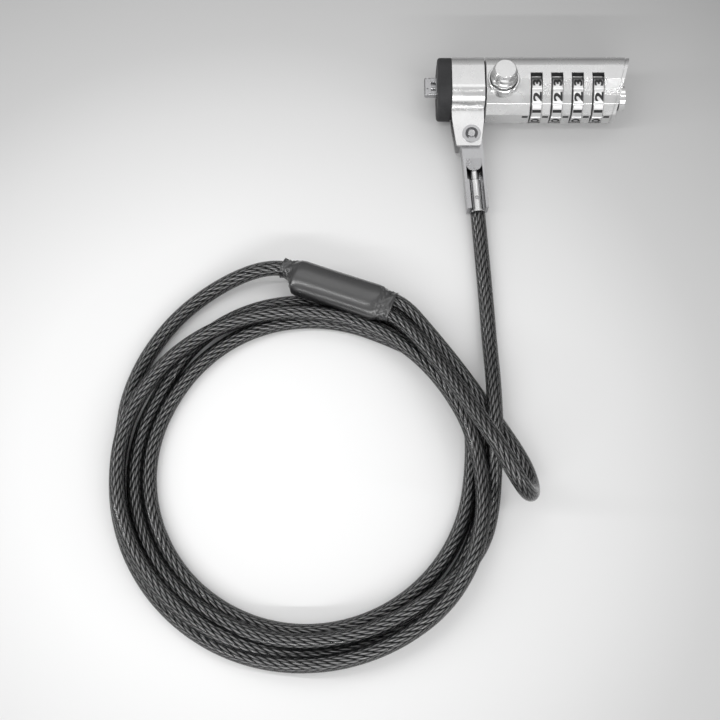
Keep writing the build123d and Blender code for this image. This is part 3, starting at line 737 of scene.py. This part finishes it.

# %% [markdown]
# ## The button's return spring
# Pressing the button packs this spring together. The CAD spring is one stiff piece, so a
# mesh of the same wire stands for it: it is swept along a helix round the button's stem.

# %% Wind the return spring
SPRING_TURNS = 4.5
SPRING_WIRE = 0.45 * MM
SPRING_SIDES = 8
STEPS_PER_TURN = 24
spring_low, spring_high = (Vector(corner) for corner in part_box("button_spring"))
spring_middle = (spring_low + spring_high) / 2
spring_radius = (spring_high.x - spring_low.x - SPRING_WIRE) / 2
spring_rise = spring_high.z - spring_low.z - SPRING_WIRE
spring_line = []
for step in range(int(SPRING_TURNS * STEPS_PER_TURN) + 1):
    turned = step / STEPS_PER_TURN
    spring_line.append(Vector((
        spring_middle.x + spring_radius * math.cos(2 * math.pi * turned),
        spring_middle.y + spring_radius * math.sin(2 * math.pi * turned),
        spring_low.z + SPRING_WIRE / 2 + spring_rise * turned / SPRING_TURNS)))
spring = new_object("return_spring", swept_tube(
    "return_spring", spring_line, line_frames(spring_line), SPRING_WIRE / 2, SPRING_SIDES))
spring.data.materials.append(STEEL)

# %% [markdown]
# ## Marks beside the windows
# A short dark dash stands beside each window and shows which number counts. The dashes
# are the same and evenly spaced, so a Geometry Nodes tree makes them: a line of points,
# one thin plate on each, realised, with its material set inside the tree.

# %% Build the dash tree
DASHES = 5
DASH_SIZES = {"Spacing": 6.95 * MM, "Length": 2.0 * MM, "Height": 1.1 * MM}
DASH_THICKNESS = 0.06 * MM


def dash_tree(material):
    """The tree, and the identifiers of its inputs by their names."""
    tree = bpy.data.node_groups.new("Row of dashes", "GeometryNodeTree")
    sockets = {}
    for label, value in DASH_SIZES.items():
        socket = tree.interface.new_socket(label, in_out="INPUT", socket_type="NodeSocketFloat")
        socket.default_value = value
        sockets[label] = socket.identifier
    socket = tree.interface.new_socket("Count", in_out="INPUT", socket_type="NodeSocketInt")
    socket.default_value = DASHES
    sockets["Count"] = socket.identifier
    tree.interface.new_socket("Geometry", in_out="OUTPUT", socket_type="NodeSocketGeometry")
    inputs = tree.nodes.new("NodeGroupInput")
    outputs = tree.nodes.new("NodeGroupOutput")
    step = tree.nodes.new("ShaderNodeCombineXYZ")
    tree.links.new(inputs.outputs["Spacing"], step.inputs["X"])
    line = tree.nodes.new("GeometryNodeMeshLine")
    tree.links.new(inputs.outputs["Count"], line.inputs["Count"])
    tree.links.new(step.outputs[0], line.inputs["Offset"])
    size = tree.nodes.new("ShaderNodeCombineXYZ")
    size.inputs["Y"].default_value = DASH_THICKNESS
    tree.links.new(inputs.outputs["Length"], size.inputs["X"])
    tree.links.new(inputs.outputs["Height"], size.inputs["Z"])
    plate = tree.nodes.new("GeometryNodeMeshCube")
    tree.links.new(size.outputs[0], plate.inputs["Size"])
    spread = tree.nodes.new("GeometryNodeInstanceOnPoints")
    tree.links.new(line.outputs["Mesh"], spread.inputs["Points"])
    tree.links.new(plate.outputs["Mesh"], spread.inputs["Instance"])
    real = tree.nodes.new("GeometryNodeRealizeInstances")
    tree.links.new(spread.outputs[0], real.inputs[0])
    paint = tree.nodes.new("GeometryNodeSetMaterial")
    paint.inputs["Material"].default_value = material
    tree.links.new(real.outputs[0], paint.inputs["Geometry"])
    tree.links.new(paint.outputs[0], outputs.inputs[0])
    return tree, sockets


row_of_dashes, dash_sockets = dash_tree(PRINT)
print("dash tree nodes:", len(row_of_dashes.nodes))

# %% Make the dashes
DASH_FROM_DIAL = 3.7 * MM
DASH_Z = 10.0 * MM


def made_by_tree(name, tree, values, place):
    """Run a Geometry Nodes tree once and keep its mesh, moved to its place."""
    holder = bpy.data.objects.new(name + "_maker", bpy.data.meshes.new(name + "_maker"))
    bpy.context.scene.collection.objects.link(holder)
    modifier = holder.modifiers.new("made", "NODES")
    modifier.node_group = tree
    for identifier, value in values.items():
        modifier[identifier] = value
    depsgraph = bpy.context.evaluated_depsgraph_get()
    mesh = bpy.data.meshes.new_from_object(holder.evaluated_get(depsgraph))
    bpy.data.objects.remove(holder)
    mesh.transform(Matrix.Translation(place))
    return new_object(name, mesh)


first_low, first_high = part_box("dial_1")
dash_x = (first_low[0] + first_high[0]) / 2 - DASH_FROM_DIAL
front_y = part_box("body_shell")[0][1]
dash_values = {dash_sockets[label]: size for label, size in DASH_SIZES.items()}
dash_values[dash_sockets["Count"]] = DASHES
dashes = made_by_tree("index_dashes", row_of_dashes, dash_values, Vector((dash_x, front_y, DASH_Z)))
print("dash faces:", len(dashes.data.polygons))

# %% [markdown]
# ## Which part has which finish
# The cast and plated parts are what one sees. The works inside have finishes too, for
# whoever takes the lock apart: brass hubs, steel springs and shafts, dark plastic spacers
# between the dials and an aluminium crimp inside the sleeve. The list goes by finish.

# %% Dress the CAD parts
FINISHES = {
    CAST_METAL: ["body_shell", "base_cover", "end_cover", "collar_band", "button"],
    POLISHED: ["button_bezel", "end_knob", "end_ferrule"],
    STEEL: [
        "nose_plate", "nose_guard", "tbar", "tbar_pinion", "button_rack", "spindle",
        "spindle_spring", "detent_spring", "rivet", "rivet_washer", "yoke", "swivel_washer",
        "ferrule_pin"],
    DARK_STEEL: ["base_screws", "end_screws", "nose_screws", "rivet_clip"],
    DIAL_METAL: ["dial_1", "dial_2", "dial_3", "dial_4"],
    BRASS: ["dial_hub_1", "dial_hub_2", "dial_hub_3", "dial_hub_4"],
    ALUMINIUM: ["eye_crimp"],
    PAD_RUBBER: ["pad"],
    DARK_PLASTIC: ["dial_spacers", "collar_bushing"],
}
for material, names in FINISHES.items():
    for name in names:
        for slot in nodes[name].material_slots:
            slot.material = material
print("dressed nodes:", sum(len(names) for names in FINISHES.values()))

# %% [markdown]
# ## The table
# A plain pale table, wide enough to fill every view. Its colour carries a painted pool
# of light: the painted shade falls off slowly round a point in the coil, so the ring
# stands in a painted bright pool and the corners are painted greyer. A flat white would
# give the bright metal nothing dark to show.

# %% Lay the table
TABLE_HALF = 3.0
# The table's colour is a painted pool of light: brightest round one point, painted greyer further
# out.
PAINTED_POOL_MIDDLE = Vector((-0.09, -0.105, 0))
PAINTED_POOL_SHADES = [  # metres from the brightest place, shade
    (0.0, 0.93), (0.075, 0.84), (0.12, 0.69), (0.15, 0.56), (0.19, 0.48), (0.26, 0.3)]


def table_finish():
    material, tree, shader = new_material("table")
    shader.inputs["Roughness"].default_value = 0.9
    shader.inputs["Specular IOR Level"].default_value = 0.1
    place = tree.nodes.new("ShaderNodeTexCoord")
    shift = tree.nodes.new("ShaderNodeMapping")
    shift.inputs["Location"].default_value = -PAINTED_POOL_MIDDLE
    tree.links.new(place.outputs["Object"], shift.inputs["Vector"])
    length = tree.nodes.new("ShaderNodeVectorMath")
    length.operation = "LENGTH"
    tree.links.new(shift.outputs[0], length.inputs[0])
    # Painted pool of light: the base colour falls from pale to grey away from the middle.
    ramp = tree.nodes.new("ShaderNodeValToRGB")
    elements = ramp.color_ramp.elements
    elements[0].color = (*[PAINTED_POOL_SHADES[0][1]] * 3, 1)
    elements[1].position = PAINTED_POOL_SHADES[-1][0]
    elements[1].color = (*[PAINTED_POOL_SHADES[-1][1]] * 3, 1)
    for reach, shade in PAINTED_POOL_SHADES[1:-1]:
        elements.new(reach).color = (shade, shade, shade, 1)
    tree.links.new(length.outputs["Value"], ramp.inputs[0])
    tree.links.new(ramp.outputs[0], shader.inputs["Base Color"])
    return material


table_mesh = bpy.data.meshes.new("table")
table_corners = [(x * TABLE_HALF, y * TABLE_HALF, 0) for x, y in ((-1, -1), (1, -1), (1, 1), (-1, 1))]
table_mesh.from_pydata(table_corners, [], [(0, 1, 2, 3)])
table = new_object("table", table_mesh)
table.data.materials.append(table_finish())
print("table width in m:", 2 * TABLE_HALF)

# %% [markdown]
# ## Light
# Large soft boxes light the table from above and in front. Three more are long and
# narrow, and they draw the thin white lines along the sleeve and the metal edges.
# Polished metal shows what is round it, so the sky is brighter overhead than at the
# sides, which keeps the facets of the head apart.


# %% Hang the lights
def soft_box(name, place, aim, size, power):
    """A rectangular lamp at a place, turned towards its aim. Metres and watts."""
    light = bpy.data.lights.new(name, "AREA")
    light.shape = "RECTANGLE"
    light.size, light.size_y = size
    light.energy = power
    lamp = bpy.data.objects.new(name, light)
    lamp.location = place
    lamp.rotation_euler = (Vector(aim) - Vector(place)).to_track_quat("-Z", "Y").to_euler()
    bpy.context.scene.collection.objects.link(lamp)


soft_box("overhead", (-0.05, 0.33, 0.76), (-0.05, -0.04, 0), (0.8, 0.3), 0.6)
soft_box("left_strip", (-0.5, -0.1, 0.42), (-0.07, -0.1, 0), (0.016, 0.8), 1.2)
soft_box("right_strip", (0.38, -0.2, 0.5), (-0.07, -0.1, 0), (0.016, 0.8), 0.8)
soft_box("front_fill", (-0.05, -0.8, 0.25), (-0.03, -0.05, 0), (0.9, 0.35), 1.1)
soft_box("front_strip", (-0.07, -0.66, 0.42), (-0.07, -0.1, 0), (1.0, 0.016), 1.9)
print("soft boxes:", len(bpy.data.lights))

# %% Light the sky
SKY_LOW = 0.4
SKY_HIGH = 1.0
SKY_FULL = 0.9  # how far up the sky reaches its full brightness, where 1 is overhead
SKY_STRENGTH = 0.66


def studio_sky():
    world = bpy.data.worlds.new("studio")
    world.use_nodes = True
    tree = world.node_tree
    background = tree.nodes["Background"]
    place = tree.nodes.new("ShaderNodeTexCoord")
    split = tree.nodes.new("ShaderNodeSeparateXYZ")
    tree.links.new(place.outputs["Generated"], split.inputs[0])
    ramp = tree.nodes.new("ShaderNodeValToRGB")
    low, high = ramp.color_ramp.elements
    low.color = (SKY_LOW, SKY_LOW, SKY_LOW, 1)
    high.position = SKY_FULL
    high.color = (SKY_HIGH, SKY_HIGH, SKY_HIGH, 1)
    tree.links.new(split.outputs["Z"], ramp.inputs[0])
    tree.links.new(ramp.outputs[0], background.inputs["Color"])
    background.inputs["Strength"].default_value = SKY_STRENGTH
    return world


bpy.context.scene.world = studio_sky()
bpy.context.scene.view_settings.view_transform = "Standard"
print("sky strength:", SKY_STRENGTH)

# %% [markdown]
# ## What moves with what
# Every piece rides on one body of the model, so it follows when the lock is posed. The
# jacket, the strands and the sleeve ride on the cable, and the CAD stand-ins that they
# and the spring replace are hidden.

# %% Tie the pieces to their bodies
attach(jacket, "cable")
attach(strands, "cable")
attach(sleeve, "cable")
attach(dashes, "lock")
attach(spring, "lock")
for number, piece in enumerate(number_pieces, start=1):
    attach(piece, f"dial_{number}")
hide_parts("cable_lead", "cable_coil", "cable_tail", "cable_eye")
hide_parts("shrink_sleeve")
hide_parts("button_spring")
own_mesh(spring)
print("pieces tied:", 5 + len(number_pieces))
